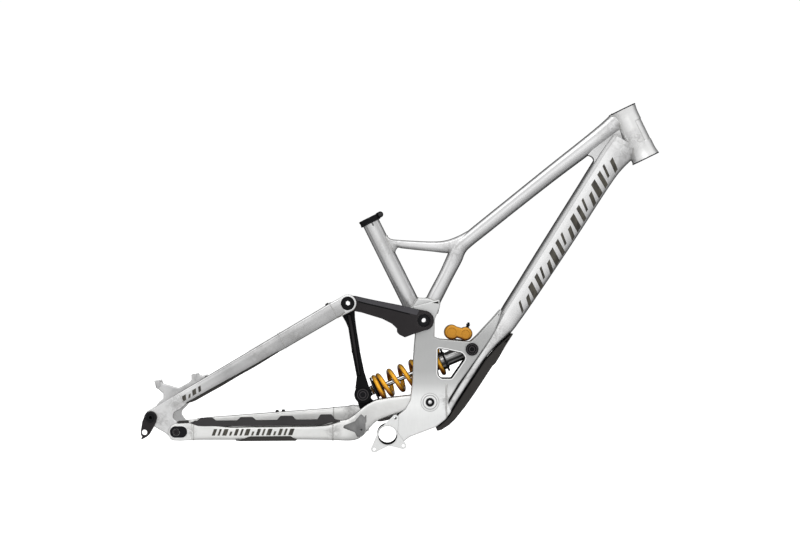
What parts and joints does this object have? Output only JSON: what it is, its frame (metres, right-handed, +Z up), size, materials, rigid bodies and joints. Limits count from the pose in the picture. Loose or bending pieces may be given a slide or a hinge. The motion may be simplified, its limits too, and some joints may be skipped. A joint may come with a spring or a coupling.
{
  "type": "bicycle frame",
  "caption": "Full-suspension downhill bicycle frame in raw alloy, with rocker link, strut, lower link and coil-over shock that all move with the rear end.",
  "frame": {"origin": "bottom centre of the whole part's box, on the frame's mid plane; the centre of the bottom bracket shell is at x -0.0264, y 0, z 0.0329 m", "axes": "+X forward towards the head tube, +Y to the rider's left, +Z up; the suspension is at full extension"},
  "size_m": [0.9804, 0.1844, 0.6637],
  "materials": {
    "raw_alloy": "brushed and clear coated, with darker smoky patches by the welds",
    "black_anodised": "satin black anodised",
    "steel": "turned",
    "rubber": "matte moulded",
    "chrome_shaft": "polished",
    "gold_anodised": "satin gold anodised",
    "spring_gold": "gold powder coat",
    "damper_dark": "dark hard-anodised, semi-gloss"
  },
  "bodies": {
    "front_triangle": {"front_triangle": "raw_alloy", "headset_cup_upper": "black_anodised", "headset_cup_lower": "black_anodised", "seat_collar": "black_anodised", "seat_collar_bolt": "steel", "downtube_guard": "rubber", "main_axle": "black_anodised", "rocker_axle": "steel", "shock_mount_bolt": "black_anodised"},
    "chainstay": {"chainstay": "raw_alloy", "main_bearing_right": "steel", "main_bearing_left": "steel", "horst_cap_right": "black_anodised", "horst_cap_left": "black_anodised", "horst_bolt_right": "black_anodised", "horst_bolt_left": "black_anodised", "chainstay_guard_upper": "rubber", "chainstay_guard_lower": "rubber", "chainstay_rear_tab": "rubber", "yoke_guard": "rubber", "hose_clip_rear": "rubber", "hose_clip_front": "rubber"},
    "rocker": {"rocker_link": "black_anodised", "rocker_bearing_right": "steel", "rocker_bearing_left": "steel", "upper_pivot_bolt_right": "black_anodised", "upper_pivot_bolt_left": "black_anodised"},
    "seatstay": {"seatstay": "raw_alloy", "seatstay_guard": "rubber", "upper_bearing_right": "steel", "upper_bearing_left": "steel", "horst_bearing_right": "steel", "horst_bearing_left": "steel", "derailleur_hanger": "black_anodised", "hanger_bolt": "steel", "rear_axle": "black_anodised", "hose_nub": "rubber"},
    "strut": {"strut": "black_anodised"},
    "lower_link": {"lower_link": "black_anodised", "lower_link_bearing_right": "steel", "lower_link_bearing_left": "steel", "lower_link_bolt": "black_anodised"},
    "shock_shaft": {"shock_rear_eye": "black_anodised", "shock_shaft": "chrome_shaft", "spring_seat_lower": "black_anodised", "bump_stop": "rubber"},
    "rebound_knob": {"rebound_knob": "gold_anodised"},
    "shock_body": {"shock_body": "damper_dark", "shock_head": "black_anodised", "reservoir": "gold_anodised", "coil_spring": "spring_gold"},
    "preload_collar": {"preload_collar": "black_anodised"},
    "compression_adjuster": {"compression_adjuster": "black_anodised"}
  },
  "joints": [
    {"name": "main_pivot", "type": "hinge", "parent": "front_triangle", "child": "chainstay", "pos_m": [0.05396, 0, 0.09521], "axis": [0, 1, 0], "range_deg": [0, 22], "stiffness_Nm_per_rad": 2760},
    {"name": "rocker_pivot", "type": "hinge", "parent": "front_triangle", "child": "rocker", "pos_m": [0.04256, 0, 0.25011], "axis": [0, 1, 0], "range_deg": [0, 45.3]},
    {"name": "upper_pivot", "type": "hinge", "parent": "rocker", "child": "seatstay", "pos_m": [-0.10183, 0, 0.28261], "axis": [0, 1, 0], "range_deg": [-30.5, 0]},
    {"name": "strut_pivot", "type": "hinge", "parent": "rocker", "child": "strut", "pos_m": [-0.10183, 0, 0.28261], "axis": [0, 1, 0], "range_deg": [-41.7, 0]},
    {"name": "lower_link_pivot", "type": "hinge", "parent": "front_triangle", "child": "lower_link", "pos_m": [0.05396, 0, 0.09521], "axis": [0, 1, 0], "range_deg": [0, 49.3]},
    {"name": "shock_rear_pivot", "type": "hinge", "parent": "lower_link", "child": "shock_shaft", "pos_m": [-0.07333, 0, 0.10931], "axis": [0, 1, 0], "range_deg": [-24.7, 0]},
    {"name": "shock_front_pivot", "type": "hinge", "parent": "front_triangle", "child": "shock_body", "pos_m": [0.13356, 0, 0.19561], "axis": [0, 1, 0], "range_deg": [0, 24.7], "deforming": ["coil_spring"]},
    {"name": "preload_collar_turn", "type": "hinge", "parent": "shock_body", "child": "preload_collar", "pos_m": [0.08403, 0, 0.17495], "axis": [0.9229, 0, 0.385], "continuous": true},
    {"name": "rebound_knob_turn", "type": "hinge", "parent": "shock_shaft", "child": "rebound_knob", "pos_m": [-0.05488, 0, 0.11701], "axis": [0.9229, 0, 0.385], "range_deg": [0, 240]},
    {"name": "compression_adjuster_turn", "type": "hinge", "parent": "shock_body", "child": "compression_adjuster", "pos_m": [0.12197, -0.014, 0.22451], "axis": [0.27, 0, 0.9629], "range_deg": [0, 90]}
  ],
  "couplings": [
    {"joint": "rocker_pivot", "follows": "main_pivot", "ratio": 2.0495},
    {"joint": "upper_pivot", "follows": "main_pivot", "ratio": -1.377},
    {"joint": "strut_pivot", "follows": "main_pivot", "ratio": -1.885},
    {"joint": "lower_link_pivot", "follows": "main_pivot", "ratio": 2.2284},
    {"joint": "shock_rear_pivot", "follows": "main_pivot", "ratio": -1.1146},
    {"joint": "shock_front_pivot", "follows": "main_pivot", "ratio": 1.1138}
  ]
}
